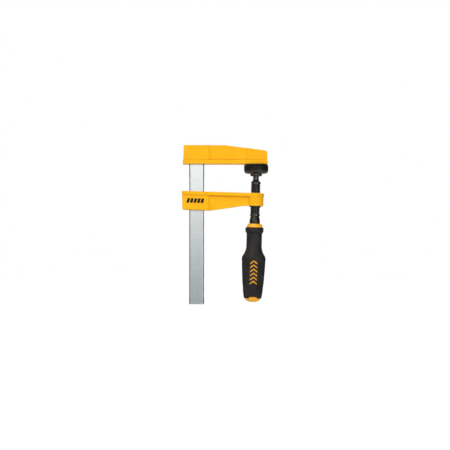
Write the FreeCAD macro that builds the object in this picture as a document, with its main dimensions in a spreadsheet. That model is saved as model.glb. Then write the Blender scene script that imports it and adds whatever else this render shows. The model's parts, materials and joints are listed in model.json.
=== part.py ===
import FreeCAD, Part
import math
import os

import Sketcher
from FreeCAD import Placement, Rotation, Vector

# A light-duty F clamp. Millimetres, Z up along the bar, X from the bar towards the screw, Y = 0 in the
# middle of the jaws. Z = 0 is the fixed jaw's clamping face and X = 0 is the bar's centre line.
# The sliding jaw, the screw and the handle are drawn upright and then leaned over by jaw_lean, the
# angle at which the jaw hangs locked on the bar.

doc = FreeCAD.newDocument("f_clamp")
sheet = doc.addObject("Spreadsheet::Sheet", "Sizes")

SIZES = {
    # bar
    "bar_width": 15.0,
    "bar_thickness": 5.0,
    "bar_edge_radius": 1.6,
    "bar_head": 15.7,
    "bar_foot": 140.0,
    "bar_foot_chamfer": 0.6,
    "tooth_first": 13.45,
    "tooth_pitch": 1.6,
    "tooth_depth": 0.3,
    # both jaws
    "jaw_thickness": 12.0,
    "lip_thickness": 13.6,
    "web_thickness": 8.2,
    "jaw_edge_radius": 0.8,
    "web_edge_radius": 0.35,
    # fixed jaw, heights measured up from its clamping face
    "fixed_lip_height": 3.5,
    "fixed_height": 18.7,
    "fixed_rear_low": 13.4,
    "fixed_rear_high": 12.85,
    "fixed_front": 70.5,
    "fixed_slope_start": 28.5,
    "fixed_tip_height": 13.1,
    "fixed_tip_radius": 3.2,
    "fixed_box_front": 11.9,
    "fixed_ramp_end": 16.9,
    "fixed_rise_start": 45.3,
    "fixed_web_end": 51.0,
    "fixed_slot_gap": 0.03,
    # sliding jaw, heights measured down from its clamping face
    "sliding_face": 27.6,
    "sliding_lip_height": 3.2,
    "sliding_height": 18.5,
    "sliding_rear_low": 14.1,
    "sliding_rear_high": 14.7,
    "sliding_slope_start": 14.0,
    "sliding_slope_end": 48.0,
    "sliding_tip_height": 12.6,
    "sliding_box_front": 11.9,
    "sliding_ramp_end": 16.4,
    "sliding_corner_radius": 1.6,
    "boss_radius": 8.1,
    "boss_lip_radius": 8.5,
    "slot_half_width": 8.15,
    "slot_half_depth": 2.75,
    # how the sliding jaw sits on the bar
    "jaw_lean": 1.7,
    "jaw_lean_level": 37.0,
    # cross pins
    "pin_radius": 1.5,
    "pin_hole_gap": 0.02,
    "pin_back": 6.0,
    "pin_front": 4.9,
    "fixed_pin_offset": 3.6,
    "fixed_pin_level": 9.2,
    "bite_pin_offset": 9.23,
    "rear_bite_level": 30.27,
    "front_bite_level": 43.33,
    # screw line, levels measured down the leaned axis
    "screw_reach": 58.6,
    "ball_level": 4.95,
    "ball_radius": 3.4,
    "ball_neck_radius": 1.95,
    "neck_radius": 2.9,
    "shoulder_top": 14.4,
    "shoulder_foot": 16.5,
    "crest_radius": 4.85,
    "thread_pitch": 1.5,
    "thread_depth": 0.7,
    "thread_top": 17.6,
    "thread_foot": 48.6,
    "shank_top": 50.6,
    "shank_radius": 3.25,
    "shank_foot": 104.0,
    "shank_flat": 2.5,
    "shank_flat_top": 74.0,
    "bush_radius": 6.0,
    "bush_rim_radius": 5.7,
    "bush_rim_height": 1.2,
    "bush_bore_gap": 0.06,
    # swivel pad, levels measured up from the ball's centre
    "pad_radius": 12.15,
    "pad_top": 6.0,
    "cap_roof": 1.5,
    "cap_wall": 1.25,
    "cap_foot": 0.1,
    "cap_corner": 1.2,
    "pad_base_radius": 11.9,
    "pad_base_foot": -2.7,
    "pad_base_round": 2.6,
    "hub_radius": 5.75,
    "hub_foot": -5.3,
    "socket_radius": 3.5,
    "ring_groove_radius": 4.25,
    "ring_groove_top": -2.4,
    "ring_groove_foot": -4.1,
    "ring_inner": 2.2,
    "ring_outer": 3.85,
    "ring_top": -2.8,
    "ring_foot": -3.6,
    # handle, levels measured down the leaned axis
    "ferrule_top_radius": 4.3,
    "ferrule_flare_level": 54.2,
    "ferrule_radius": 5.2,
    "ferrule_foot": 58.1,
    "cone_top_radius": 6.9,
    "cone_foot_radius": 8.0,
    "grip_top": 61.8,
    "collar_radius": 9.05,
    "collar_foot": 66.2,
    "grip_neck_top": 68.6,
    "grip_neck_radius": 7.7,
    "grip_neck_foot": 81.0,
    "belly_top": 88.4,
    "belly_top_radius": 10.0,
    "belly_level": 95.5,
    "belly_radius": 11.6,
    "waist_level": 110.0,
    "waist_radius": 10.9,
    "tail_level": 121.5,
    "tail_radius": 10.0,
    "grip_foot": 132.4,
    "grip_foot_radius": 8.6,
    "corner_ratio": 1.05,
    "core_radius": 5.6,
    "core_bore_gap": 0.05,
    "dome_radius": 8.2,
    "dome_foot": 136.0,
    "dome_flat": 3.0,
    "dome_round": 7.0,
    "notch_width": 8.0,
    "notch_height": 1.6,
    "tab_side": 7.5,
    "tab_radius": 8.55,
    "mark_top": 94.5,
    "mark_pitch": 4.0,
    "mark_width": 7.0,
    "mark_rise": 2.6,
    "mark_stroke": 1.45,
    "mark_depth_level": 9.2,
}

TOOTH_COUNT = 76
MARK_COUNT = 6
FACET_TURNS = (0, 55, 90, 125)


class Size:
    """A number together with the sheet expression that gives it, so that arithmetic stays bound."""

    def __init__(self, text, value):
        self.text, self.value = text, value

    def joined(self, sign, other, value, swap=False):
        text = other.text if isinstance(other, Size) else repr(float(other))
        left, right = (text, self.text) if swap else (self.text, text)
        return Size(f"({left} {sign} {right})", value)

    def __add__(self, other):
        return self.joined("+", other, self.value + number(other))

    def __radd__(self, other):
        return self.joined("+", other, number(other) + self.value, swap=True)

    def __sub__(self, other):
        return self.joined("-", other, self.value - number(other))

    def __rsub__(self, other):
        return self.joined("-", other, number(other) - self.value, swap=True)

    def __mul__(self, other):
        return self.joined("*", other, self.value * number(other))

    def __rmul__(self, other):
        return self.joined("*", other, number(other) * self.value, swap=True)

    def __truediv__(self, other):
        return self.joined("/", other, self.value / number(other))

    def __neg__(self):
        return Size(f"(0 - {self.text})", -self.value)


def number(value):
    return value.value if isinstance(value, Size) else float(value)


def square_root(size):
    return Size(f"sqrt({size.text})", math.sqrt(size.value))


for row, (alias, value) in enumerate(SIZES.items(), start=1):
    sheet.set(f"A{row}", alias)
    sheet.set(f"B{row}", str(value))
    sheet.setAlias(f"B{row}", alias)
doc.recompute()
s = {alias: Size(f"Sizes.{alias}", float(sheet.get(alias))) for alias in SIZES}


# ---------------------------------------------------------------- drawing helpers


def bind(item, **values):
    """Set properties, through the sheet where the value comes from it."""
    for name, value in values.items():
        if isinstance(value, Size):
            item.setExpression(name, value.text)
        else:
            setattr(item, name, value)


def arc_centre(start, end, radius):
    """Centre of the short arc from start to end; a positive radius turns left, a negative one right."""
    (x0, y0), (x1, y1) = start, end
    half = math.hypot(x1 - x0, y1 - y0) / 2
    rise = math.sqrt(max(radius**2 - half**2, 0)) * (1 if radius > 0 else -1)
    nx, ny = -(y1 - y0) / (2 * half), (x1 - x0) / (2 * half)
    return (x0 + x1) / 2 + nx * rise, (y0 + y1) / 2 + ny * rise


def add_loop(sketch, corners):
    """Draw a closed loop with every corner held by the sheet.

    A corner is (x, y), or (x, y, radius) where the edge that arrives at it is an arc.
    """
    first = sketch.GeometryCount
    count = len(corners)
    spots = [(number(c[0]), number(c[1])) for c in corners]
    for i, corner in enumerate(corners):
        start, end = spots[i - 1], spots[i]
        if len(corner) == 2:
            edge = Part.LineSegment(Vector(*start, 0), Vector(*end, 0))
        else:
            radius = number(corner[2])
            cx, cy = arc_centre(start, end, radius)
            a0 = math.atan2(start[1] - cy, start[0] - cx)
            a1 = math.atan2(end[1] - cy, end[0] - cx)
            if radius < 0:
                a0, a1 = a1, a0
            circle = Part.Circle(Vector(cx, cy, 0), Vector(0, 0, 1), abs(radius))
            edge = Part.ArcOfCircle(circle, a0, a1)
        sketch.addGeometry(edge)
    for i, corner in enumerate(corners):
        here, after = first + i, first + (i + 1) % count
        turns_right = len(corner) == 3 and number(corner[2]) < 0
        after_right = len(corners[(i + 1) % count]) == 3 and number(corners[(i + 1) % count][2]) < 0
        end_point = 1 if turns_right else 2
        start_point = 2 if after_right else 1
        sketch.addConstraint(Sketcher.Constraint("Coincident", here, end_point, after, start_point))
        for kind, value in (("DistanceX", corner[0]), ("DistanceY", corner[1])):
            index = sketch.addConstraint(
                Sketcher.Constraint(kind, -1, 1, here, end_point, number(value))
            )
            if isinstance(value, Size):
                sketch.setExpression(f"Constraints[{index}]", value.text)
        if len(corner) == 3:
            index = sketch.addConstraint(Sketcher.Constraint("Radius", here, abs(number(corner[2]))))
            if isinstance(corner[2], Size):
                text = corner[2].text if number(corner[2]) > 0 else f"(0 - {corner[2].text})"
                sketch.setExpression(f"Constraints[{index}]", text)


def body_sketch(body, name, plane, *loops):
    """A sketch on one of the body's own planes."""
    sketch = body.newObject("Sketcher::SketchObject", name)
    support = next(f for f in body.Origin.OriginFeatures if f.Role == plane)
    sketch.AttachmentSupport = [(support, "")]
    sketch.MapMode = "FlatFace"
    for corners in loops:
        add_loop(sketch, corners)
    doc.recompute()
    return sketch


def add_circle(sketch, radius, x=0.0, y=0.0):
    """Add a circle whose radius and centre come from the sheet."""
    index = sketch.addGeometry(
        Part.Circle(Vector(number(x), number(y), 0), Vector(0, 0, 1), number(radius))
    )
    rules = [("Radius", (index,), radius)]
    rules += [("DistanceX", (-1, 1, index, 3), x), ("DistanceY", (-1, 1, index, 3), y)]
    for kind, ends, value in rules:
        rule = sketch.addConstraint(Sketcher.Constraint(kind, *ends, number(value)))
        if isinstance(value, Size):
            sketch.setExpression(f"Constraints[{rule}]", value.text)


def new_body(label, placement=None):
    body = doc.addObject("PartDesign::Body", label)
    body.Label = label
    body.Placement = placement or Placement()
    return body


def feature(body, kind, name, sketch=None, **values):
    """Add a PartDesign feature to the body and recompute it."""
    item = body.newObject(f"PartDesign::{kind}", name)
    if sketch:
        item.Profile = sketch
        sketch.Visibility = False
    bind(item, **values)
    doc.recompute()
    return item


def slab(body, name, plane, thickness, *loops):
    """A pad of the loops, half to each side of the plane."""
    sketch = body_sketch(body, f"{name}_Sketch", plane, *loops)
    return feature(body, "Pad", name, sketch, SideType="Symmetric", Length=thickness)


def turned(body, name, corners, kind="Revolution"):
    """A solid turned about the body's Z axis from corners given as (radius, level)."""
    sketch = body_sketch(body, f"{name}_Sketch", "XZ_Plane", corners)
    return feature(body, kind, name, sketch, ReferenceAxis=(sketch, ["V_Axis"]), Angle=360.0)


def cross_hole(body, name, x, z):
    """A blind hole for a cross pin, bored from the back."""
    hole = feature(
        body,
        "SubtractiveCylinder",
        name,
        Radius=s["pin_radius"] + s["pin_hole_gap"],
        Height=s["pin_back"] + s["pin_front"] + 2.1,
    )
    start = Vector(number(x), -number(s["pin_front"]) - 0.1, number(z))
    hole.Placement = Placement(start, Rotation(Vector(1, 0, 0), -90))
    doc.recompute()
    return hole


def dress_edges(body, kind, name, chosen, **values):
    """Fillet or chamfer the edges of the body's last feature that the test picks."""
    base = body.Tip
    names = [f"Edge{i}" for i, edge in enumerate(base.Shape.Edges, start=1) if chosen(edge)]
    item = body.newObject(f"PartDesign::{kind}", name)
    item.Base = (base, names)
    bind(item, **values)
    doc.recompute()
    return item


def on_plane(edge, axis, level):
    """Does the whole edge lie at this level along the axis?"""
    box = edge.BoundBox
    low = {"x": box.XMin, "y": box.YMin, "z": box.ZMin}[axis]
    high = {"x": box.XMax, "y": box.YMax, "z": box.ZMax}[axis]
    return abs(low - level) < 1e-4 and abs(high - level) < 1e-4


def on_side(edge, half_y):
    """Does the edge lie on the front or the back face at this distance from the middle?"""
    return on_plane(edge, "y", half_y) or on_plane(edge, "y", -half_y)


def rounded_rectangle(half_x, half_y, radius):
    """Corners of a rectangle about the origin with round corners."""
    return [
        (half_x, half_y - radius),
        (half_x - radius, half_y, radius),
        (radius - half_x, half_y),
        (-half_x, half_y - radius, radius),
        (-half_x, radius - half_y),
        (radius - half_x, -half_y, radius),
        (half_x - radius, -half_y),
        (half_x, radius - half_y, radius),
    ]


def offset_rectangle(left, right, half_y, radius):
    """Corners of a rectangle from left to right with round corners."""
    return [
        (right, half_y - radius),
        (right - radius, half_y, radius),
        (left + radius, half_y),
        (left, half_y - radius, radius),
        (left, radius - half_y),
        (left + radius, -half_y, radius),
        (right - radius, -half_y),
        (right, radius - half_y, radius),
    ]


# ---------------------------------------------------------------- frames of the leaned pieces

LEAN = Placement(
    Vector(0, 0, 0),
    Rotation(Vector(0, 1, 0), number(s["jaw_lean"])),
    Vector(0, 0, -number(s["jaw_lean_level"])),
)
SCREW_LINE = LEAN * Placement(Vector(number(s["screw_reach"]), 0, 0), Rotation())
BALL_CENTRE = SCREW_LINE * Vector(0, 0, -number(s["ball_level"]))


# ---------------------------------------------------------------- bar and fixed jaw


def make_bar():
    """Flat bar with round long edges, fine teeth on both narrow edges and holes for the jaw's pins."""
    bar = new_body("bar")
    half_x, half_y = s["bar_width"] / 2, s["bar_thickness"] / 2
    section = body_sketch(
        bar, "Bar_Section", "XY_Plane", rounded_rectangle(half_x, half_y, s["bar_edge_radius"])
    )
    feature(
        bar, "Pad", "Bar_Blank", section,
        SideType="Two sides", Length=s["bar_head"], Length2=s["bar_foot"],
    )
    foot = -number(s["bar_foot"])
    dress_edges(
        bar, "Chamfer", "Bar_Foot_Chamfer", lambda e: on_plane(e, "z", foot),
        Size=s["bar_foot_chamfer"],
    )
    for side in (-1, 1):
        feature(
            bar, "SubtractiveCylinder", f"Jaw_Pin_Hole_{side + 2}",
            Radius=s["pin_radius"] + s["pin_hole_gap"], Height=s["bar_thickness"] + 2,
        ).Placement = Placement(
            Vector(side * number(s["fixed_pin_offset"]), -number(half_y) - 1,
                   number(s["fixed_pin_level"])),
            Rotation(Vector(1, 0, 0), -90),
        )
    level, over = -s["tooth_first"], 0.5
    half_mouth = s["tooth_pitch"] / 2 * ((s["tooth_depth"] + over) / s["tooth_depth"])
    notches = [
        [
            (side * (half_x + over), level + half_mouth),
            (side * (half_x - s["tooth_depth"]), level),
            (side * (half_x + over), level - half_mouth),
        ]
        for side in (-1, 1)
    ]
    sketch = body_sketch(bar, "Tooth_Sketch", "XZ_Plane", *notches)
    tooth = feature(
        bar, "Pocket", "Tooth", sketch, SideType="Symmetric", Length=s["bar_thickness"] + 2
    )
    row = bar.newObject("PartDesign::LinearPattern", "Tooth_Row")
    row.Originals = [tooth]
    row.Direction = (sketch, ["V_Axis"])
    row.Reversed = True
    row.Occurrences = TOOTH_COUNT
    bind(row, Length=s["tooth_pitch"] * (TOOTH_COUNT - 1))
    bar.Tip = row
    doc.recompute()
    return bar


def round_outline(body, prefix, kept_sharp=lambda edge: False):
    """Round the edges of a jaw's slab where its sides meet its front and back."""
    half = number(s["jaw_thickness"]) / 2
    dress_edges(
        body, "Fillet", f"{prefix}_Edges", lambda e: on_side(e, half) and not kept_sharp(e),
        Radius=s["jaw_edge_radius"],
    )


def scoop_radius(start, end):
    """Radius of the arc that meets the web without a corner and the slab's face at its other end."""
    run, depth = end - start, (s["jaw_thickness"] - s["web_thickness"]) / 2
    return (run * run + depth * depth) / (2 * depth)


def is_upright(edge):
    return abs(edge.tangentAt(edge.FirstParameter).z) > 0.99


def cut_to_web(body, prefix, level, upward, plan):
    """Scoop both sides of the slab down to its web, from a level out through the open edge.

    plan(side, thick, thin, over) gives the scoop's outline on one side, seen along Z.
    """
    thick, thin = s["jaw_thickness"] / 2, s["web_thickness"] / 2
    sketch = body_sketch(
        body, f"{prefix}_Web_Sketch", "XY_Plane",
        *[plan(side, side * thick, side * thin, side * (thick + 1)) for side in (-1, 1)],
    )
    sketch.setExpression("AttachmentOffset.Base.z", level.text)
    doc.recompute()
    feature(body, "Pocket", f"{prefix}_Web", sketch, Reversed=upward, Length=s["fixed_height"])
    half, shelf = number(thick), number(level)
    reach = [number(corner[0]) for corner in plan(1, thick, thin, thick + 1)]
    low, high = min(reach) - 0.01, max(reach) + 0.01
    dress_edges(
        body, "Fillet", f"{prefix}_Web_Edges",
        lambda e: on_side(e, half)
        and (on_plane(e, "z", shelf) or is_upright(e) and low < e.BoundBox.XMin < high),
        Radius=s["web_edge_radius"],
    )


def make_fixed_jaw():
    """The upper jaw: a casting with a blind slot for the bar's head and blind holes for its pins."""
    jaw = new_body("fixed_jaw")
    outline = [
        (-s["fixed_rear_low"], 0),
        (s["fixed_front"], 0),
        (s["fixed_front"], s["fixed_tip_height"]),
        (s["fixed_slope_start"], s["fixed_height"]),
        (-s["fixed_rear_high"], s["fixed_height"]),
    ]
    tip = Vector(number(s["fixed_front"]), 0, number(s["fixed_tip_height"]))
    slab(jaw, "Fixed_Slab", "XZ_Plane", s["jaw_thickness"], outline)
    dress_edges(
        jaw, "Fillet", "Fixed_Tip", lambda e: e.BoundBox.Center.distanceToPoint(tip) < 0.01,
        Radius=s["fixed_tip_radius"],
    )
    round_outline(jaw, "Fixed")
    start, ramp_end = s["fixed_box_front"], s["fixed_ramp_end"]
    rise, end = s["fixed_rise_start"], s["fixed_web_end"]
    cut_to_web(
        jaw, "Fixed", s["fixed_lip_height"] + 0.4, True,
        lambda side, thick, thin, over: [
            (start, thick),
            (ramp_end, thin, side * scoop_radius(start, ramp_end)),
            (rise, thin),
            (end, thick, side * scoop_radius(rise, end)),
            (end, over),
            (start, over),
        ],
    )
    lip = body_sketch(
        jaw, "Fixed_Lip_Sketch", "XY_Plane",
        offset_rectangle(-s["fixed_rear_low"] - 0.3, s["fixed_front"] + 0.3,
                         s["lip_thickness"] / 2, 1.4),
    )
    feature(jaw, "Pad", "Fixed_Lip", lip, Length=s["fixed_lip_height"])
    gap = s["fixed_slot_gap"]
    slot = body_sketch(
        jaw, "Fixed_Slot_Sketch", "XY_Plane",
        rounded_rectangle(s["bar_width"] / 2 + gap, s["bar_thickness"] / 2 + gap,
                          s["bar_edge_radius"]),
    )
    feature(
        jaw, "Pocket", "Fixed_Slot", slot, Reversed=True, Length=s["bar_head"] + 0.1,
    )
    for side in (-1, 1):
        cross_hole(jaw, f"Fixed_Pin_Hole_{side + 2}", side * s["fixed_pin_offset"],
                   s["fixed_pin_level"])
    return jaw


def make_sliding_jaw():
    """The lower jaw: a casting with the bar's slot, the bite pins' holes and the screw's boss."""
    jaw = new_body("sliding_jaw", LEAN)
    face = -s["sliding_face"]

    def below(depth):
        return face - depth

    outline = [
        (-s["sliding_rear_high"], below(0)),
        (-s["sliding_rear_low"], below(s["sliding_height"] - s["sliding_corner_radius"])),
        (s["sliding_corner_radius"] - s["sliding_rear_low"], below(s["sliding_height"]),
         s["sliding_corner_radius"] * 1.05),
        (s["sliding_slope_start"], below(s["sliding_height"])),
        (s["sliding_slope_end"], below(s["sliding_tip_height"])),
        (s["screw_reach"], below(s["sliding_tip_height"])),
        (s["screw_reach"], below(0)),
    ]
    top, tip = number(face), number(s["screw_reach"])
    slab(jaw, "Sliding_Slab", "XZ_Plane", s["jaw_thickness"], outline)
    round_outline(jaw, "Sliding", lambda e: on_plane(e, "z", top) or on_plane(e, "x", tip))
    start, ramp_end, end = s["sliding_box_front"], s["sliding_ramp_end"], s["screw_reach"] + 1
    cut_to_web(
        jaw, "Sliding", below(s["sliding_lip_height"] + 0.4), False,
        lambda side, thick, thin, over: [
            (start, thick),
            (ramp_end, thin, side * scoop_radius(start, ramp_end)),
            (end, thin),
            (end, over),
            (start, over),
        ],
    )
    for name, radius, depth in (
        ("Boss", s["boss_radius"], s["sliding_tip_height"]),
        ("Boss_Lip", s["boss_lip_radius"], s["sliding_lip_height"]),
    ):
        ring = body_sketch(jaw, f"{name}_Sketch", "XY_Plane")
        add_circle(ring, radius, s["screw_reach"])
        feature(jaw, "Pad", name, ring, SideType="Two sides", Length=face, Length2=depth - face)
    lip = body_sketch(
        jaw, "Sliding_Lip_Sketch", "XY_Plane",
        offset_rectangle(-s["sliding_rear_high"] - 0.3, s["screw_reach"],
                         s["lip_thickness"] / 2, 1.4),
    )
    feature(
        jaw, "Pad", "Sliding_Lip", lip,
        SideType="Two sides", Length=face, Length2=s["sliding_lip_height"] - face,
    )
    slot = body_sketch(
        jaw, "Sliding_Slot_Sketch", "XY_Plane",
        rounded_rectangle(s["slot_half_width"], s["slot_half_depth"], 0.8),
    )
    feature(jaw, "Pocket", "Sliding_Slot", slot, SideType="Symmetric", Length=200.0)
    for name, side in (("rear", -1), ("front", 1)):
        cross_hole(jaw, f"{name}_bite_hole", side * s["bite_pin_offset"], -s[f"{name}_bite_level"])
    bore = body_sketch(jaw, "Bush_Bore_Sketch", "XY_Plane")
    add_circle(bore, s["bush_radius"] + 0.01, s["screw_reach"])
    feature(jaw, "Pocket", "Bush_Bore", bore, SideType="Symmetric", Length=200.0)
    return jaw


# ---------------------------------------------------------------- pins, bush and pad


def make_pin(label, x, z, frame):
    """A hardened cross pin along Y, pushed in from the back."""
    pin = doc.addObject("Part::Cylinder", label)
    bind(pin, Radius=s["pin_radius"], Height=s["pin_back"] + s["pin_front"])
    start = Vector(number(x), -number(s["pin_front"]), number(z))
    pin.Placement = frame * Placement(start, Rotation(Vector(1, 0, 0), -90))
    return pin


def make_fixed_pins():
    """The two pins that hold the fixed jaw on the bar, as one group."""
    pins = []
    for side, name in ((-1, "rear"), (1, "front")):
        pins.append(make_pin(f"fixed_jaw_pin_{name}", side * s["fixed_pin_offset"],
                             s["fixed_pin_level"], Placement()))
    group = doc.addObject("Part::Compound", "fixed_jaw_pins")
    group.Links = pins
    doc.recompute()
    return group


def make_bite_pin(name, side):
    """A cross pin that bears on the bar's edge when the sliding jaw leans."""
    return make_pin(f"{name}_bite_pin", side * s["bite_pin_offset"], -s[f"{name}_bite_level"], LEAN)


def make_bush():
    """The bush pressed into the boss, with its rim below. Its bore clears the thread's crests."""
    bush = new_body("threaded_bush", SCREW_LINE)
    top = -s["sliding_face"] - 0.3
    boss_foot = -s["sliding_face"] - s["sliding_tip_height"]
    foot, bore = boss_foot - s["bush_rim_height"], s["crest_radius"] + s["bush_bore_gap"]
    turned(bush, "Bush", [
        (bore, top - 0.5),
        (bore + 0.5, top),
        (s["bush_radius"] - 0.2, top),
        (s["bush_radius"], top - 0.2),
        (s["bush_radius"], boss_foot),
        (s["bush_rim_radius"], boss_foot),
        (s["bush_rim_radius"], foot + 0.15),
        (s["bush_rim_radius"] - 0.15, foot),
        (bore + 0.15, foot),
        (bore, foot + 0.15),
    ])
    return bush


def make_swivel_pad():
    """The steel pad, with a hub bored for the screw's ball and grooved for the retaining ring."""
    pad = new_body("swivel_pad", Placement(BALL_CENTRE, Rotation()))
    roof = s["pad_top"] - s["cap_roof"] - 0.05
    rim = s["pad_radius"] - s["cap_wall"] - 0.1
    socket, groove = s["socket_radius"], s["ring_groove_radius"]
    turned(pad, "Pad_Steel", [
        (0, roof),
        (0, socket),
        (socket, 0, -socket),
        (socket, s["ring_groove_top"]),
        (groove, s["ring_groove_top"]),
        (groove, s["ring_groove_foot"]),
        (socket, s["ring_groove_foot"]),
        (socket, s["hub_foot"] + 0.3),
        (socket + 0.3, s["hub_foot"]),
        (s["hub_radius"] - 0.4, s["hub_foot"]),
        (s["hub_radius"], s["hub_foot"] + 0.4, 0.42),
        (s["hub_radius"], s["pad_base_foot"] - 0.8),
        (s["hub_radius"] + 0.8, s["pad_base_foot"], -0.8),
        (s["pad_base_radius"] - s["pad_base_round"], s["pad_base_foot"]),
        (s["pad_base_radius"], s["pad_base_foot"] + s["pad_base_round"], s["pad_base_round"]),
        (rim, 0.05),
        (rim, roof - 0.5),
        (rim - 0.5, roof),
    ])
    return pad


def make_pad_cap():
    """The tough plastic cap that snaps over the steel pad, with a fine groove round its wall."""
    cap = new_body("pad_cap", Placement(BALL_CENTRE, Rotation()))
    rim, top = s["pad_radius"], s["pad_top"]
    groove = top - s["cap_roof"] - 0.3
    inner, roof = rim - s["cap_wall"], top - s["cap_roof"]
    turned(cap, "Cap", [
        (0, roof),
        (inner - 0.5, roof),
        (inner, roof - 0.5),
        (inner, s["cap_foot"]),
        (rim - 0.2, s["cap_foot"]),
        (rim, s["cap_foot"] + 0.2),
        (rim, groove - 0.35),
        (rim - 0.35, groove - 0.1),
        (rim - 0.35, groove + 0.1),
        (rim, groove + 0.35),
        (rim, top - s["cap_corner"]),
        (rim - s["cap_corner"], top, s["cap_corner"]),
        (0, top),
    ])
    return cap


def make_retaining_ring():
    """The ring in the hub's groove, under the ball, that keeps the pad on the screw."""
    frame = Placement(BALL_CENTRE, LEAN.Rotation)
    ring = new_body("pad_retaining_ring", frame)
    inner, outer = s["ring_inner"], s["ring_outer"]
    top, foot = s["ring_top"], s["ring_foot"]
    turned(ring, "Ring", [
        (inner, foot + 0.1),
        (inner + 0.1, foot),
        (outer - 0.2, foot),
        (outer, foot + 0.2),
        (outer, top - 0.2),
        (outer - 0.2, top),
        (inner + 0.1, top),
        (inner, top - 0.1),
    ])
    return ring


# ---------------------------------------------------------------- screw and handle


def make_screw():
    """The screw: ball, neck, helical thread, and a shank with two flats inside the handle."""
    screw = new_body("screw", SCREW_LINE)
    ball, neck = -s["ball_level"], s["ball_neck_radius"]
    ball_foot = ball - square_root(s["ball_radius"] * s["ball_radius"] - neck * neck)
    turned(screw, "Screw_Blank", [
        (0, ball + s["ball_radius"], s["ball_radius"]),
        (0, -s["shank_foot"]),
        (s["shank_radius"] - 0.5, -s["shank_foot"]),
        (s["shank_radius"], 0.5 - s["shank_foot"]),
        (s["shank_radius"], -s["shank_top"]),
        (s["crest_radius"] - 0.3, -s["shank_top"]),
        (s["crest_radius"], 0.3 - s["shank_top"]),
        (s["crest_radius"], -s["shoulder_foot"]),
        (s["neck_radius"], -s["shoulder_top"]),
        (s["neck_radius"], ball - 5.0),
        (neck, ball - 4.0),
        (neck, ball_foot),
    ])
    crest, root = s["crest_radius"], s["crest_radius"] - s["thread_depth"]
    half, foot = s["thread_pitch"] * 0.46, -s["thread_foot"]
    groove = body_sketch(screw, "Thread_Sketch", "XZ_Plane", [
        (crest + 0.2, foot + half),
        (root, foot + 0.12),
        (root, foot - 0.12),
        (crest + 0.2, foot - half),
    ])
    thread = screw.newObject("PartDesign::SubtractiveHelix", "Thread")
    thread.Profile = groove
    thread.ReferenceAxis = (groove, ["V_Axis"])
    thread.Mode = "pitch-height-angle"
    bind(thread, Pitch=s["thread_pitch"], Height=s["thread_foot"] - s["thread_top"])
    thread.Angle = 0
    doc.recompute()
    flat = s["shank_flat"]
    reach = s["shank_radius"] + 0.5
    sketch = body_sketch(screw, "Shank_Flat_Sketch", "XZ_Plane", *[
        [
            (side * flat, -s["shank_flat_top"]),
            (side * reach, -s["shank_flat_top"]),
            (side * reach, -s["shank_foot"] - 1),
            (side * flat, -s["shank_foot"] - 1),
        ]
        for side in (-1, 1)
    ])
    feature(screw, "Pocket", "Shank_Flats", sketch, SideType="Symmetric", Length=20.0)
    return screw


def make_ferrule():
    """The steel sleeve that widens down to the handle's head."""
    ferrule = new_body("handle_ferrule", SCREW_LINE)
    bore = s["shank_radius"] + 0.03
    top, foot = -s["shank_top"] - 0.05, -s["ferrule_foot"]
    turned(ferrule, "Ferrule", [
        (bore, top),
        (s["ferrule_top_radius"] - 0.2, top),
        (s["ferrule_top_radius"], top - 0.2),
        (s["ferrule_radius"] - 0.1, -s["ferrule_flare_level"]),
        (s["ferrule_radius"], -s["ferrule_flare_level"] - 1),
        (s["ferrule_radius"], foot + 0.3),
        (s["ferrule_radius"] - 0.3, foot),
        (bore, foot),
    ])
    return ferrule


def make_handle_core():
    """The hard yellow core: a cone at the head, a stem inside the grip and a dome at the foot."""
    core = new_body("handle_core", SCREW_LINE)
    bore = s["shank_radius"] + s["core_bore_gap"]
    head, seat = -s["ferrule_foot"] - 0.02, -s["grip_top"]
    bottom, flat, dome = -s["grip_foot"], s["dome_flat"], -s["dome_foot"]
    turned(core, "Core", [
        (bore, head),
        (s["cone_top_radius"] - 0.6, head),
        (s["cone_top_radius"], head - 0.6, -0.75),
        (s["cone_foot_radius"], seat + 0.4, -12.0),
        (s["cone_foot_radius"], seat),
        (s["core_radius"], seat),
        (s["core_radius"], bottom),
        (s["dome_radius"], bottom),
        (flat, dome, -s["dome_round"]),
        (0, dome),
        (0, -s["shank_foot"] - 1),
        (bore, -s["shank_foot"] - 1),
    ])
    half = s["notch_width"] / 2 - 0.03
    side, reach = s["tab_side"], s["tab_radius"]
    tab = body_sketch(core, "Foot_Tab_Sketch", "XY_Plane", [
        (half, -side, reach), (half, side), (-half, side, reach), (-half, -side),
    ])
    feature(
        core, "Pad", "Foot_Tab", tab,
        SideType="Two sides", Length=bottom + s["notch_height"] - 0.03, Length2=-bottom,
    )
    return core


def grip_blank_corners():
    """Half outline of the turned grip as (radius, level), from the foot to the head."""
    def wide(name):
        return s[name] * s["corner_ratio"]

    return [
        (0, -s["grip_foot"]),
        (wide("grip_foot_radius") - 0.9, -s["grip_foot"]),
        (wide("grip_foot_radius"), 0.9 - s["grip_foot"], 0.95),
        (wide("tail_radius"), -s["tail_level"], 60.0),
        (wide("waist_radius"), -s["waist_level"], 90.0),
        (wide("belly_radius"), -s["belly_level"], 180.0),
        (s["belly_top_radius"], -s["belly_top"], 10.0),
        (s["grip_neck_radius"], -s["grip_neck_foot"], -18.0),
        (s["grip_neck_radius"], -s["grip_neck_top"]),
        (s["collar_radius"], -s["collar_foot"], -2.8),
        (s["collar_radius"], -s["grip_top"] - 0.6),
        (s["collar_radius"] - 0.6, -s["grip_top"], 0.63),
        (0, -s["grip_top"]),
    ]


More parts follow.
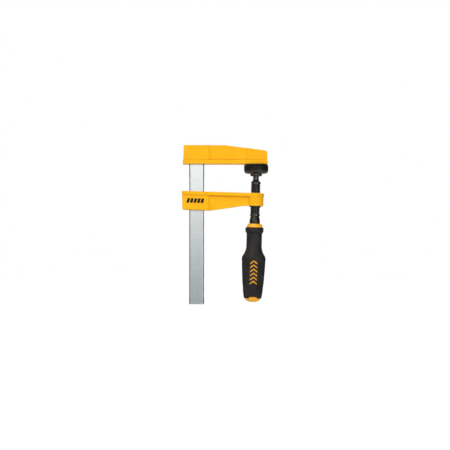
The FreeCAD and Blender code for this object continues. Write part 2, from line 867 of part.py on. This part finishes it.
def grip_facet_corners():
    """Half outline that one pair of facets is cut to; above the belly it clears the blank."""
    clear = s["belly_radius"] + 1.0
    return [
        (0, -s["grip_foot"] - 1),
        (s["grip_foot_radius"] - 0.1, -s["grip_foot"] - 1),
        (s["grip_foot_radius"], -s["grip_foot"]),
        (s["tail_radius"], -s["tail_level"], 60.0),
        (s["waist_radius"], -s["waist_level"], 90.0),
        (s["belly_radius"], -s["belly_level"], 180.0),
        (s["belly_top_radius"] + 0.5, -s["belly_top"], 10.0),
        (clear, -s["grip_neck_foot"]),
        (clear, 1 - s["grip_top"]),
        (0, 1 - s["grip_top"]),
    ]


def both_sides(half):
    """The whole outline from a half one whose first and last corners are on the axis."""
    other = []
    for corner, after in zip(half[-2:0:-1], half[:1:-1]):
        radius = after[2:] if after is not half[-1] else ()
        other.append((-corner[0], corner[1], *radius))
    return half[1:-1] + other


def loose_sketch(name, *loops, frame=None):
    """A sketch outside any body, in the XZ plane unless the frame moves it."""
    sketch = doc.addObject("Sketcher::SketchObject", name)
    sketch.Placement = (frame or Placement()) * Placement(
        Vector(0, 0, 0), Rotation(Vector(1, 0, 0), 90)
    )
    for corners in loops:
        add_loop(sketch, corners)
    doc.recompute()
    return sketch


def extruded(name, sketch, length, symmetric=False):
    item = doc.addObject("Part::Extrusion", name)
    item.Base = sketch
    item.DirMode = "Normal"
    item.Symmetric = symmetric
    item.LengthFwd = length
    item.Solid = True
    return item


def make_grip_form():
    """The grip's outer form: a turned blank with eight soft facets that follow its belly."""
    blank = doc.addObject("Part::Revolution", "Grip_Blank")
    blank.Source = loose_sketch("Grip_Blank_Sketch", grip_blank_corners())
    blank.Axis = Vector(0, 0, 1)
    blank.Angle = 360.0
    blank.Solid = True
    pieces = [blank]
    for turn in FACET_TURNS:
        frame = Placement(Vector(0, 0, 0), Rotation(Vector(0, 0, 1), turn))
        outline = both_sides(grip_facet_corners())
        sketch = loose_sketch(f"Grip_Facet_Sketch_{turn}", outline, frame=frame)
        pieces.append(extruded(f"Grip_Facet_{turn}", sketch, 40.0, symmetric=True))
    form = doc.addObject("Part::MultiCommon", "Grip_Form")
    form.Shapes = pieces
    doc.recompute()
    return form


def make_marks():
    """Prisms of the plain chevrons that the core's material fills in the grip's front facet."""
    loops = []
    half, rise, stroke = s["mark_width"] / 2, s["mark_rise"], s["mark_stroke"]
    for i in range(MARK_COUNT):
        level = -s["mark_top"] - rise - i * s["mark_pitch"]
        loops.append([
            (-half, level), (-half, level - stroke), (0, level + rise - stroke),
            (half, level - stroke), (half, level), (0, level + rise),
        ])
    frame = Placement(Vector(0, -number(s["mark_depth_level"]), 0), Rotation())
    return extruded("Mark_Prisms", loose_sketch("Mark_Sketch", *loops, frame=frame), 6.0)


def make_grip(form, marks):
    """The black overmould: the form less the core's bore, the foot's notch and the marks."""
    bore = doc.addObject("Part::Cylinder", "Grip_Bore")
    bind(bore, Radius=s["core_radius"] + 0.02, Height=s["grip_foot"] - s["grip_top"] + 2)
    bore.Placement.Base = Vector(0, 0, -number(s["grip_foot"]) - 1)
    notch = doc.addObject("Part::Box", "Grip_Notch")
    bind(notch, Length=s["notch_width"], Height=s["notch_height"] + 1)
    notch.Width = 40.0
    notch.Placement.Base = Vector(
        -number(s["notch_width"]) / 2, -20, -number(s["grip_foot"]) - 1
    )
    tools = doc.addObject("Part::MultiFuse", "Grip_Tools")
    tools.Shapes = [bore, notch, marks]
    grip = doc.addObject("Part::Cut", "handle_grip")
    grip.Base = form
    grip.Tool = tools
    grip.Placement = SCREW_LINE
    doc.recompute()
    return grip


def make_grip_marks(form, marks):
    """The yellow chevrons, flush with the grip's front facet."""
    inlay = doc.addObject("Part::MultiCommon", "grip_marks")
    inlay.Shapes = [marks, form]
    inlay.Placement = SCREW_LINE
    doc.recompute()
    return inlay


# ---------------------------------------------------------------- build, check and write


def make_all():
    form, marks = make_grip_form(), make_marks()
    return [
        make_bar(),
        make_fixed_jaw(),
        make_fixed_pins(),
        make_sliding_jaw(),
        make_bite_pin("rear", -1),
        make_bite_pin("front", 1),
        make_bush(),
        make_retaining_ring(),
        make_swivel_pad(),
        make_pad_cap(),
        make_screw(),
        make_ferrule(),
        make_handle_core(),
        make_grip(form, marks),
        make_grip_marks(form, marks),
    ]


parts = make_all()
doc.recompute()
for item in doc.Objects:
    if {"Invalid", "Error"} & set(item.State):
        raise RuntimeError(f"{item.Name} is {item.State}")

os.makedirs("parts", exist_ok=True)
for part in parts:
    shape = part.Shape
    if shape.isNull() or not shape.isValid() or not shape.Solids:
        raise RuntimeError(f"{part.Label} has no valid solid")
    shape.exportStep(f"parts/{part.Label}.step")
    print(part.Label, len(shape.Solids), "solid(s)", round(shape.Volume, 1), "mm3")
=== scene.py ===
import json
import math

import bmesh
import bpy
from mathutils import Matrix, Vector


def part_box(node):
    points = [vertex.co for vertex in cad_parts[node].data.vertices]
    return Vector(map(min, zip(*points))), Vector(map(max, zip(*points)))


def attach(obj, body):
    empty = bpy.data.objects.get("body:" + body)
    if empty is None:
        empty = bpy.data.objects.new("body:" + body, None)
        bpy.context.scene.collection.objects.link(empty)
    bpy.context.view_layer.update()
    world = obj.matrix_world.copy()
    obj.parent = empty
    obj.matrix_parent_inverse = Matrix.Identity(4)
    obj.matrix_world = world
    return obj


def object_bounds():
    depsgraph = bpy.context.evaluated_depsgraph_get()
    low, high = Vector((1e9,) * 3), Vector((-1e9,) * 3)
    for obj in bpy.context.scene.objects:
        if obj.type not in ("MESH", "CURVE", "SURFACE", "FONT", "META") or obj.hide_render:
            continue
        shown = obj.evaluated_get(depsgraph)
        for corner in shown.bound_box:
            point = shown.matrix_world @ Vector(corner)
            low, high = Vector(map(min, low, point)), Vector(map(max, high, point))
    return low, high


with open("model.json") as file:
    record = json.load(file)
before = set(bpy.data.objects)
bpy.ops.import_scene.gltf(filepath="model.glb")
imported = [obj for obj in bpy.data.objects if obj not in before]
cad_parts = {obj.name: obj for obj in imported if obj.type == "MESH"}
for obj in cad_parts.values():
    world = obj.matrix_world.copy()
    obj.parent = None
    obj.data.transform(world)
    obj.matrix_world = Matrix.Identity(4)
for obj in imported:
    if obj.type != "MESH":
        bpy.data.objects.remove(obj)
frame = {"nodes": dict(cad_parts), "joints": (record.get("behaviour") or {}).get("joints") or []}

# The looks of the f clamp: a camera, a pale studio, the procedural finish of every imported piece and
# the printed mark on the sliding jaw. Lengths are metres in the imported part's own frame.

MM = 0.001
cad_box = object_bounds()
nodes = frame["nodes"]

# ---------------------------------------------------------------- materials


class Finish:
    """A node-based material whose Principled shader is set by short calls. Sizes are metres."""

    def __init__(self, name):
        self.material = bpy.data.materials.new(name)
        self.material.use_nodes = True
        self.tree = self.material.node_tree
        self.shader = self.tree.nodes["Principled BSDF"]
        self.place = self.node("ShaderNodeTexCoord").outputs["Object"]

    def node(self, kind, **settings):
        """A new node with its settings."""
        made = self.tree.nodes.new(kind)
        for name, value in settings.items():
            setattr(made, name, value)
        return made

    def put(self, socket, value):
        """Links a socket to another node's output, or sets it to a plain value."""
        if isinstance(value, bpy.types.NodeSocket):
            self.tree.links.new(value, socket)
        else:
            socket.default_value = value

    def noise(self, size, detail=2.0, stretch=(1, 1, 1), roughness=0.5):
        """Cloudy values about 0.5, with features that size, drawn out along an axis by stretch."""
        mapping = self.node("ShaderNodeMapping")
        mapping.inputs["Scale"].default_value = [1 / (size * s) for s in stretch]
        self.put(mapping.inputs["Vector"], self.place)
        noise = self.node("ShaderNodeTexNoise")
        noise.inputs["Scale"].default_value = 1
        noise.inputs["Detail"].default_value = detail
        noise.inputs["Roughness"].default_value = roughness
        self.put(noise.inputs["Vector"], mapping.outputs["Vector"])
        return noise.outputs["Fac"]

    def levels(self, value, lowest, highest, to_lowest, to_highest):
        """Values from lowest to highest become values from to_lowest to to_highest, and no further."""
        ramp = self.node("ShaderNodeMapRange", interpolation_type="SMOOTHSTEP")
        for socket, amount in zip(ramp.inputs, (value, lowest, highest, to_lowest, to_highest)):
            self.put(socket, amount)
        return ramp.outputs["Result"]

    def math(self, operation, first, second=0.0):
        """One sum on one or two values."""
        made = self.node("ShaderNodeMath", operation=operation)
        self.put(made.inputs[0], first)
        self.put(made.inputs[1], second)
        return made.outputs["Value"]

    def mixed(self, amount, first, second):
        """The colour first where amount is 0 and second where it is 1."""
        made = self.node("ShaderNodeMix", data_type="RGBA")
        self.put(made.inputs["Factor"], amount)
        colour_a, colour_b = (s for s in made.inputs if s.type == "RGBA")
        for socket, colour in ((colour_a, first), (colour_b, second)):
            self.put(socket, colour if isinstance(colour, bpy.types.NodeSocket) else (*colour, 1))
        return next(s for s in made.outputs if s.type == "RGBA")

    def edges(self, radius):
        """1 along the edges that stand out, 0 on flat ground."""
        bevel = self.node("ShaderNodeBevel", samples=6)
        bevel.inputs["Radius"].default_value = radius
        flat = self.node("ShaderNodeNewGeometry").outputs["True Normal"]
        turn = self.node("ShaderNodeVectorMath", operation="DOT_PRODUCT")
        self.put(turn.inputs[0], bevel.outputs["Normal"])
        self.put(turn.inputs[1], flat)
        return self.levels(turn.outputs["Value"], 0.97, 0.80, 0, 1)

    def rubbed_edges(self, radius, patch, between, amounts):
        """Wear along the edges that stand out, in patches of that size and between two amounts."""
        patches = self.levels(self.noise(patch, 3), *between, *amounts)
        return self.math("MULTIPLY", self.edges(radius), patches)

    def hollows(self, distance, least=0.85, most=0.35):
        """0 in the open and 1 in corners, where the share of open sky falls from least to most; the
        finishes use it to paint shade into corners.
        """
        near = self.node("ShaderNodeAmbientOcclusion", samples=8)
        near.inputs["Distance"].default_value = distance
        return self.levels(near.outputs["AO"], least, most, 0, 1)

    def bumps(self, *layers):
        """Surface relief from (height values, depth in metres) layers, each on top of the last."""
        normal = None
        for height, depth in layers:
            bump = self.node("ShaderNodeBump")
            bump.inputs["Strength"].default_value = 1
            bump.inputs["Distance"].default_value = depth
            self.put(bump.inputs["Height"], height)
            if normal is not None:
                self.put(bump.inputs["Normal"], normal)
            normal = bump.outputs["Normal"]
        return normal

    def set(self, **sockets):
        """Sets the Principled shader's sockets: base_color for Base Color, and so on."""
        for name, value in sockets.items():
            socket = self.shader.inputs[name.replace("_", " ").title().replace("Ior", "IOR")]
            plain_colour = socket.type == "RGBA" and isinstance(value, tuple)
            self.put(socket, (*value, 1) if plain_colour else value)
        return self


def shaded(shade, *colours):
    """The same colours, each part of them times shade."""
    return [tuple(shade * part for part in colour) for colour in colours]


def painted_iron():
    """Thick yellow powder coat over an iron casting: soft peel, and painted shade in the corners, a
    darker orange.
    """
    coat = Finish("yellow_powder_coat")
    cloud = coat.levels(coat.noise(14 * MM, 3), 0.35, 0.65, 0, 1)
    body = coat.mixed(cloud, (0.95, 0.450, 0.004), (0.97, 0.490, 0.006))
    # Painted shade: corners and recesses, where little open sky reaches, are mixed toward a darker
    # orange.
    painted_corner_shade = coat.math("MULTIPLY", coat.hollows(2.0 * MM, 0.97, 0.7), 0.5)
    speck = coat.levels(coat.noise(0.9 * MM, 2), 0.66, 0.74, 0, 0.35)
    flecked = coat.mixed(speck, coat.mixed(painted_corner_shade, body, (0.68, 0.230, 0.002)), (0.98, 0.58, 0.03))
    worn = coat.rubbed_edges(0.5 * MM, 4 * MM, between=(0.42, 0.60), amounts=(0.1, 0.8))
    coat.set(
        base_color=coat.mixed(worn, flecked, (0.98, 0.60, 0.06)),
        roughness=coat.levels(coat.noise(5 * MM, 3), 0.3, 0.7, 0.40, 0.52),
        specular_ior_level=0.11,
        coat_weight=0.03,
        coat_roughness=0.30,
        normal=coat.bumps((coat.noise(3.2 * MM, 2), 0.10 * MM), (coat.noise(0.8 * MM, 2), 0.035 * MM)),
    )
    return coat.material


def plated_bar():
    """Bright zinc plate on a drawn bar: fine lines along it, a faint bloom, a painted dark reflection
    along its curved long edges and painted shade in its hollows.
    """
    plate = Finish("bright_plated_steel")
    drawn = plate.noise(0.45 * MM, 2, stretch=(1, 1, 60))
    bloom = plate.levels(plate.noise(2.2 * MM, 4, roughness=0.6), 0.3, 0.7, 0, 1)
    body = plate.mixed(bloom, (0.66, 0.715, 0.730), (0.735, 0.780, 0.790))
    lined = plate.mixed(plate.levels(drawn, 0.40, 0.62, 0, 0.20), body, (0.50, 0.53, 0.56))
    # Painted reflection: the curved long edges, found by which way the surface faces, are mixed toward
    # near-black as if they mirrored a dark room.
    sideways = plate.node("ShaderNodeSeparateXYZ")
    plate.put(sideways.inputs[0], plate.node("ShaderNodeTexCoord").outputs["Normal"])
    turned = plate.math("ABSOLUTE", sideways.outputs["X"])
    off_the_faces = plate.levels(turned, 0.2, 0.5, 0, 0.75)
    off_the_narrow_sides = plate.levels(turned, 0.95, 0.99, 1, 0)
    dark_reflection_mask = plate.math("MULTIPLY", off_the_faces, off_the_narrow_sides)
    edges_painted_dark = plate.mixed(dark_reflection_mask, lined, (0.10, 0.105, 0.11))
    # Painted shade: in hollows, such as where the bar runs into the jaws, the colour is mixed toward
    # dark grey.
    painted_shade_in_hollows = plate.math("MULTIPLY", plate.hollows(1.2 * MM), 0.7)
    combed = plate.levels(drawn, 0.3, 0.7, -0.015, 0.03)
    plate.set(
        base_color=plate.mixed(painted_shade_in_hollows, edges_painted_dark, (0.16, 0.16, 0.17)),
        metallic=0.93,
        roughness=plate.math("ADD", plate.levels(bloom, 0, 1, 0.29, 0.315), combed),
        normal=plate.bumps((drawn, 0.005 * MM), (plate.noise(7 * MM, 2), 0.003 * MM)),
    )
    return plate.material


def blackened_steel(name, shade=1.0):
    """Oiled black oxide on turned steel, brown where it catches the light; shade darkens it."""
    steel = Finish(name)
    tint = steel.levels(steel.noise(4 * MM, 4), 0.35, 0.65, 0, 1)
    body = steel.mixed(tint, *shaded(shade, (0.050, 0.041, 0.036), (0.085, 0.069, 0.061)))
    rubbed = steel.rubbed_edges(0.25 * MM, 2 * MM, between=(0.4, 0.65), amounts=(0, 0.7))
    steel.set(
        base_color=steel.mixed(rubbed, body, (0.16, 0.14, 0.125)),
        metallic=0.85,
        roughness=steel.levels(steel.noise(1.5 * MM, 3), 0.3, 0.7, 0.32, 0.46),
        coat_weight=0.2 * shade,
        coat_roughness=0.15,
        normal=steel.bumps((steel.noise(0.5 * MM, 3), 0.012 * MM)),
    )
    return steel.material


def bright_pin():
    """Ground steel of the hardened pins."""
    steel = Finish("ground_pin_steel")
    swirl = steel.noise(0.25 * MM, 2, stretch=(8, 1, 8))
    ground = steel.levels(swirl, 0.3, 0.7, 0, 1)
    steel.set(
        base_color=steel.mixed(ground, (0.34, 0.34, 0.35), (0.52, 0.52, 0.53)),
        metallic=1.0,
        roughness=steel.levels(swirl, 0.3, 0.7, 0.26, 0.40),
        normal=steel.bumps((swirl, 0.008 * MM)),
    )
    return steel.material


def phosphated_bush():
    """Dark phosphate on the threaded bush, greyer where it is rubbed."""
    bush = Finish("phosphated_bush")
    stain = bush.levels(bush.noise(2 * MM, 4), 0.35, 0.7, 0, 1)
    bush.set(
        base_color=bush.mixed(stain, (0.055, 0.050, 0.047), (0.100, 0.093, 0.086)),
        metallic=0.8,
        roughness=bush.levels(stain, 0, 1, 0.48, 0.38),
        normal=bush.bumps((bush.noise(0.4 * MM, 3), 0.010 * MM)),
    )
    return bush.material


def black_pad_plastic():
    """Satin moulded cap over the swivel pad."""
    cap = Finish("satin_black_cap")
    grain = cap.noise(0.35 * MM, 2)
    cloud = cap.levels(cap.noise(6 * MM, 3), 0.35, 0.65, 0, 1)
    body = cap.mixed(cloud, (0.009, 0.0085, 0.008), (0.015, 0.014, 0.013))
    rubbed = cap.rubbed_edges(0.4 * MM, 3 * MM, between=(0.4, 0.6), amounts=(0.1, 0.6))
    cap.set(
        base_color=cap.mixed(rubbed, body, (0.045, 0.042, 0.040)),
        roughness=cap.levels(cloud, 0, 1, 0.42, 0.52),
        specular_ior_level=0.12,
        normal=cap.bumps((grain, 0.022 * MM)),
    )
    return cap.material


def soft_grip():
    """Black soft-touch rubber with a fine eroded grain, and a painted highlight along its edges."""
    rubber = Finish("soft_touch_rubber")
    grain = rubber.noise(0.45 * MM, 3, roughness=0.7)
    cloud = rubber.levels(rubber.noise(9 * MM, 4), 0.35, 0.65, 0, 1)
    body = rubber.mixed(cloud, (0.0140, 0.0112, 0.0096), (0.0230, 0.0188, 0.0164))
    # Painted highlight: the edges are mixed toward a lighter brown-grey, in patches.
    painted_edge_highlight = rubber.rubbed_edges(0.8 * MM, 5 * MM, between=(0.35, 0.6), amounts=(0.2, 0.7))
    rubber.set(
        base_color=rubber.mixed(painted_edge_highlight, body, (0.042, 0.035, 0.031)),
        roughness=rubber.levels(grain, 0.3, 0.7, 0.52, 0.66),
        specular_ior_level=0.28,
        normal=rubber.bumps((rubber.noise(5 * MM, 2), 0.06 * MM), (grain, 0.035 * MM)),
    )
    return rubber.material


def yellow_plastic(name, shade=1.0):
    """Glossy hard moulding of the handle's core, with a trace of flow in it and painted shade in its
    corners; shade darkens its colour.
    """
    shell = Finish(name)
    flow = shell.levels(shell.noise(7 * MM, 3, stretch=(1, 1, 3)), 0.35, 0.65, 0, 1)
    body = shell.mixed(flow, *shaded(shade, (0.94, 0.430, 0.010), (0.97, 0.480, 0.014)))
    # Painted shade: corners, where little open sky reaches, are mixed toward a dark orange-brown.
    painted_corner_shade = shell.math("MULTIPLY", shell.hollows(1.5 * MM), 0.8)
    shell.set(
        base_color=shell.mixed(painted_corner_shade, body, (0.55, 0.19, 0.004)),
        roughness=shell.levels(shell.noise(3 * MM, 3), 0.3, 0.7, 0.24, 0.34),
        subsurface_weight=0.06,
        subsurface_radius=(2 * MM, 1 * MM, 0.4 * MM),
        normal=shell.bumps((shell.noise(2.5 * MM, 2), 0.02 * MM)),
    )
    return shell.material


def print_ink():
    """Black ink, printed thinly over the powder coat."""
    ink = Finish("black_print_ink")
    thin = ink.levels(ink.noise(0.6 * MM, 3), 0.6, 0.75, 0, 0.5)
    ink.set(
        base_color=ink.mixed(thin, (0.010, 0.009, 0.008), (0.06, 0.035, 0.01)),
        roughness=ink.levels(ink.noise(1.2 * MM, 2), 0.3, 0.7, 0.40, 0.55),
        specular_ior_level=0.12,
        normal=ink.bumps((ink.noise(0.8 * MM, 2), 0.03 * MM)),
    )
    return ink.material


def dress(material, *names):
    """Gives CAD nodes one material in every slot."""
    for name in names:
        for place in nodes[name].material_slots:
            place.material = material


dress(painted_iron(), "fixed_jaw", "sliding_jaw")
dress(plated_bar(), "bar")
dress(blackened_steel("black_oxide_steel"), "screw", "swivel_pad", "pad_retaining_ring")
dress(blackened_steel("black_oxide_ferrule", 0.6), "handle_ferrule")
dress(bright_pin(), "fixed_jaw_pins", "rear_bite_pin", "front_bite_pin")
dress(phosphated_bush(), "threaded_bush")
dress(black_pad_plastic(), "pad_cap")
dress(soft_grip(), "handle_grip")
dress(yellow_plastic("yellow_hard_plastic"), "handle_core")
dress(yellow_plastic("gold_inlay_plastic", 0.75), "grip_marks")

# ---------------------------------------------------------------- the printed mark


def slanted_bar(width, height, slant, thickness):
    """A thin standing parallelogram that leans to the right, centred on its own origin."""
    half_width, half_height = width / 2, height / 2
    outline = [
        (-half_width - slant / 2, -half_height),
        (half_width - slant / 2, -half_height),
        (half_width + slant / 2, half_height),
        (-half_width + slant / 2, half_height),
    ]
    shape = bmesh.new()
    face = shape.faces.new([shape.verts.new((x, 0, z)) for x, z in outline])
    grown = bmesh.ops.extrude_face_region(shape, geom=[face])
    front = [v for v in grown["geom"] if isinstance(v, bmesh.types.BMVert)]
    bmesh.ops.translate(shape, verts=front, vec=(0, -thickness, 0))
    bmesh.ops.recalc_face_normals(shape, faces=shape.faces)
    return shape


def printed_mark():
    """Five slanted bars in black ink across the sliding jaw's face, in line with the leaning jaw."""
    count, pitch, left_of_bar = 5, 3.5 * MM, 1.2 * MM
    width, height, slant, thickness = 2.6 * MM, 4.4 * MM, 1.2 * MM, 0.05 * MM
    well_in_front = 100 * MM
    jaw = nodes["sliding_jaw"]
    low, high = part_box("sliding_jaw")
    screw_axis = next(j["axis"] for j in frame["joints"] if j["name"] == "screw_feed")
    lean = math.atan2(screw_axis[0], screw_axis[2])
    bar_low, bar_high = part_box("bar")
    centre = Vector(((bar_low.x + bar_high.x) / 2 - left_of_bar, 0, (low.z + high.z) / 2))
    hit, place, *_ = jaw.ray_cast((centre.x, low.y - well_in_front, centre.z), (0, 1, 0))
    centre.y = place.y if hit else low.y
    mesh = bpy.data.meshes.new("jaw_mark")
    whole = bmesh.new()
    for i in range(count):
        one = slanted_bar(width, height, slant, thickness)
        bmesh.ops.translate(one, verts=one.verts, vec=((i - (count - 1) / 2) * pitch, 0, 0))
        part = bpy.data.meshes.new("one_bar")
        one.to_mesh(part)
        one.free()
        whole.from_mesh(part)
        bpy.data.meshes.remove(part)
    bmesh.ops.transform(
        whole, verts=whole.verts, matrix=Matrix.Translation(centre) @ Matrix.Rotation(lean, 4, "Y")
    )
    whole.to_mesh(mesh)
    whole.free()
    mesh.materials.append(print_ink())
    mark = bpy.data.objects.new("jaw_mark", mesh)
    bpy.context.scene.collection.objects.link(mark)
    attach(mark, "lower_jaw")


printed_mark()

# ---------------------------------------------------------------- studio


def aim(thing, target):
    """Points a camera or a light at a place."""
    toward = Vector(target) - thing.location
    thing.rotation_euler = toward.to_track_quat("-Z", "Y").to_euler()


def soft_box(name, place, width, height, power, colour=(1, 1, 1)):
    """A rectangular studio light that faces the clamp's middle. Power is in watts."""
    lamp = bpy.data.lights.new(name, "AREA")
    lamp.shape = "RECTANGLE"
    lamp.size = width
    lamp.size_y = height
    lamp.energy = power
    lamp.color = colour
    thing = bpy.data.objects.new(name, lamp)
    thing.location = place
    aim(thing, (28 * MM, 0, -60 * MM))
    bpy.context.scene.collection.objects.link(thing)


def studio_world():
    """White to the camera, and to everything else a dim room that darkens to the right."""
    world = bpy.data.worlds.new("studio")
    bpy.context.scene.world = world
    world.use_nodes = True
    tree = world.node_tree
    tree.nodes.clear()
    seen = tree.nodes.new("ShaderNodeLightPath").outputs["Is Camera Ray"]
    sideways = tree.nodes.new("ShaderNodeSeparateXYZ")
    tree.links.new(tree.nodes.new("ShaderNodeTexCoord").outputs["Generated"], sideways.inputs[0])
    darkening = tree.nodes.new("ShaderNodeMapRange")
    left_wall, right_wall, left_strength, right_strength = -0.9, 0.2, 0.42, 0.04
    darkening.inputs["From Min"].default_value = left_wall
    darkening.inputs["From Max"].default_value = right_wall
    darkening.inputs["To Min"].default_value = left_strength
    darkening.inputs["To Max"].default_value = right_strength
    tree.links.new(sideways.outputs["X"], darkening.inputs["Value"])
    room = tree.nodes.new("ShaderNodeBackground")
    room.inputs["Color"].default_value = (0.92, 0.96, 1.0, 1)
    tree.links.new(darkening.outputs["Result"], room.inputs["Strength"])
    paper = tree.nodes.new("ShaderNodeBackground")
    paper.inputs["Color"].default_value = (1, 1, 1, 1)
    paper.inputs["Strength"].default_value = 1.0
    choice = tree.nodes.new("ShaderNodeMixShader")
    output = tree.nodes.new("ShaderNodeOutputWorld")
    tree.links.new(seen, choice.inputs[0])
    tree.links.new(room.outputs[0], choice.inputs[1])
    tree.links.new(paper.outputs[0], choice.inputs[2])
    tree.links.new(choice.outputs[0], output.inputs["Surface"])


def lowest_reach():
    """How far down the handle gets with the jaw and the screw let down as far as they go."""
    return cad_box[0].z + sum(j["range_m"][0] for j in frame["joints"] if j["type"] == "slide")


def pale_floor(level):
    """A wide plain floor, dark to the bar's reflections where it lies in front of the clamp."""
    half = 6.0
    nearest, farthest, narrowing = 0.15, 0.45, 1.5
    mesh = bpy.data.meshes.new("floor")
    corners = [(-half, -half, level), (half, -half, level), (half, half, level), (-half, half, level)]
    mesh.from_pydata(corners, [], [(0, 1, 2, 3)])
    paint = Finish("pale_floor")
    pale = paint.mixed(paint.noise(0.25, 2), (0.86, 0.86, 0.855), (0.89, 0.89, 0.885))
    path = paint.node("ShaderNodeLightPath").outputs
    grazing = paint.levels(paint.node("ShaderNodeLayerWeight").outputs["Facing"], 0.62, 0.86, 0, 1)
    across = paint.node("ShaderNodeSeparateXYZ")
    paint.put(across.inputs[0], paint.place)
    aside = paint.math("MULTIPLY", paint.math("ABSOLUTE", across.outputs["X"]), narrowing)
    beyond = paint.math("SUBTRACT", across.outputs["Y"], aside)
    behind = paint.levels(beyond, nearest, farthest, 0, 1)
    dark = paint.math("MULTIPLY", grazing, paint.math("SUBTRACT", 1.0, behind))
    reflected = paint.mixed(dark, (0.62, 0.64, 0.65), (0.05, 0.145, 0.215))
    paint.set(
        base_color=paint.mixed(path["Is Glossy Ray"], pale, reflected),
        roughness=0.9,
        specular_ior_level=0.1,
        emission_color=(1.0, 1.0, 1.0),
        emission_strength=paint.math("MULTIPLY", path["Is Camera Ray"], 0.6),
    )
    mesh.materials.append(paint.material)
    floor = bpy.data.objects.new("floor", mesh)
    bpy.context.scene.collection.objects.link(floor)


def camera():
    """Level with the handle and a touch from below, as the clamp is seen from in front."""
    distance, lens = 1.0, 80.0
    target = Vector((28.3 * MM, 0, -60.95 * MM))
    elevation = math.radians(-1.75)
    data = bpy.data.cameras.new("camera")
    data.lens = lens
    data.clip_start = 0.01
    thing = bpy.data.objects.new("camera", data)
    thing.location = target + distance * Vector((0, -math.cos(elevation), math.sin(elevation)))
    aim(thing, target)
    bpy.context.scene.collection.objects.link(thing)
    bpy.context.scene.camera = thing


def lights():
    """A key on the upper left, a broad front light, a fill on the right, one behind, a ceiling."""
    soft_box("key", (-0.43, -0.98, 0.57), width=0.9, height=0.7, power=4.2)
    soft_box("fill", (0.66, -0.88, 0.10), width=0.4, height=0.7, power=2.7)
    soft_box(
        "front", (-0.10, -1.30, 0.222), width=1.2, height=0.5, power=2.65, colour=(1.0, 0.96, 0.885)
    )
    soft_box("back", (0.2, 1.1, 0.7), width=1.0, height=0.8, power=5)
    sun = bpy.data.lights.new("ceiling", "SUN")
    sun.energy = 1.2
    sun.angle = math.radians(60)
    thing = bpy.data.objects.new("ceiling", sun)
    thing.rotation_euler = (math.radians(18), math.radians(-6), 0)
    bpy.context.scene.collection.objects.link(thing)


bpy.context.scene.view_settings.view_transform = "Standard"
studio_world()
under_the_clamp = 2 * MM
pale_floor(lowest_reach() - under_the_clamp)
camera()
lights()
